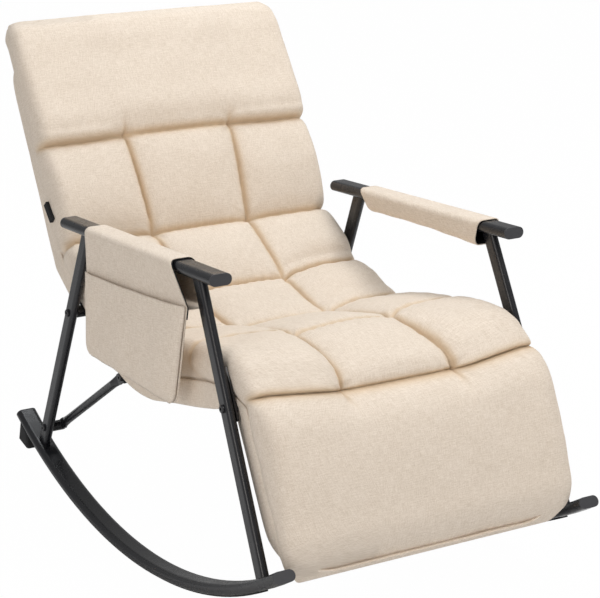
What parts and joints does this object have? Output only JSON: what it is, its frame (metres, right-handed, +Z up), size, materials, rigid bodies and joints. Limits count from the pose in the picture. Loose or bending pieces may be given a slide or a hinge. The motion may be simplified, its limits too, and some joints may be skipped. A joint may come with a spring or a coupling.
{
  "type": "reclining rocking chair",
  "caption": "Rocking chair on curved runners with a tube frame, a tufted pad, a reclining back, a lifting leg rest and a side pocket.",
  "frame": {"origin": "on the floor under the middle of the chair, where the runners touch it at rest", "axes": "+Z up, -Y to the front (the way the sitter faces), +X to the sitter's left"},
  "size_m": [0.6515, 1.1044, 0.8732],
  "materials": {
    "frame_paint": "satin",
    "pad_frame_paint": "satin",
    "plate_paint": "matte",
    "cap_plastic": "matte",
    "soft_rubber": "matte",
    "bolt_black": "satin",
    "hinge_steel": "satin",
    "cushion_cloth": "matte",
    "sleeve_cloth": "matte",
    "sling_cloth": "matte",
    "tag_cloth": "matte"
  },
  "bodies": {
    "root": {"armrest_right": "frame_paint", "runner_right": "frame_paint", "front_leg_right": "frame_paint", "rear_leg_right": "frame_paint", "brace_right": "frame_paint", "brace_spacer_right": "frame_paint", "mount_bosses_right": "frame_paint", "seat_rail_right": "pad_frame_paint", "armrest_caps_right": "cap_plastic", "runner_caps_right": "cap_plastic", "anti_slip_strip_right": "soft_rubber", "rear_stop_right": "soft_rubber", "hinge_plate_right": "plate_paint", "back_hinge_fork_right": "hinge_steel", "leg_hinge_fork_right": "hinge_steel", "armrest_left": "frame_paint", "runner_left": "frame_paint", "front_leg_left": "frame_paint", "rear_leg_left": "frame_paint", "brace_left": "frame_paint", "brace_spacer_left": "frame_paint", "mount_bosses_left": "frame_paint", "seat_rail_left": "pad_frame_paint", "armrest_caps_left": "cap_plastic", "runner_caps_left": "cap_plastic", "anti_slip_strip_left": "soft_rubber", "rear_stop_left": "soft_rubber", "hinge_plate_left": "plate_paint", "back_hinge_fork_left": "hinge_steel", "leg_hinge_fork_left": "hinge_steel", "frame_bolts": "bolt_black", "brace_lower_bolts": "bolt_black", "brace_upper_bolts": "bolt_black", "brace_nuts": "bolt_black", "brace_tabs": "pad_frame_paint", "front_cross_tube": "pad_frame_paint", "rear_cross_tube": "pad_frame_paint", "back_hinge_rivets": "hinge_steel", "leg_hinge_rivets": "hinge_steel", "seat_sling": "sling_cloth", "seat_skirts": "cushion_cloth", "seat_cushion": "cushion_cloth", "knee_cushion": "cushion_cloth", "pocket_sleeve": "sleeve_cloth", "pocket_pouch": "sleeve_cloth", "arm_sleeve_left": "sleeve_cloth"},
    "backrest": {"back_frame": "pad_frame_paint", "back_hinge_tongue_right": "hinge_steel", "back_hinge_tongue_left": "hinge_steel", "back_sling": "sling_cloth", "back_cushion": "cushion_cloth", "back_skirt": "cushion_cloth", "side_tag": "tag_cloth"},
    "legrest": {"leg_frame": "pad_frame_paint", "leg_hinge_tongue_right": "hinge_steel", "leg_hinge_tongue_left": "hinge_steel", "leg_sling": "sling_cloth", "leg_cushion": "cushion_cloth", "leg_skirt": "cushion_cloth"}
  },
  "joints": [
    {"name": "back_recline", "type": "hinge", "parent": "root", "child": "backrest", "pos_m": [0, 0.35, 0.454], "axis": [-1, 0, 0], "range_deg": [0, 30]},
    {"name": "leg_lift", "type": "hinge", "parent": "root", "child": "legrest", "pos_m": [0, -0.3382, 0.384], "axis": [-1, 0, 0], "range_deg": [0, 70], "deforming": ["knee_cushion"]}
  ]
}
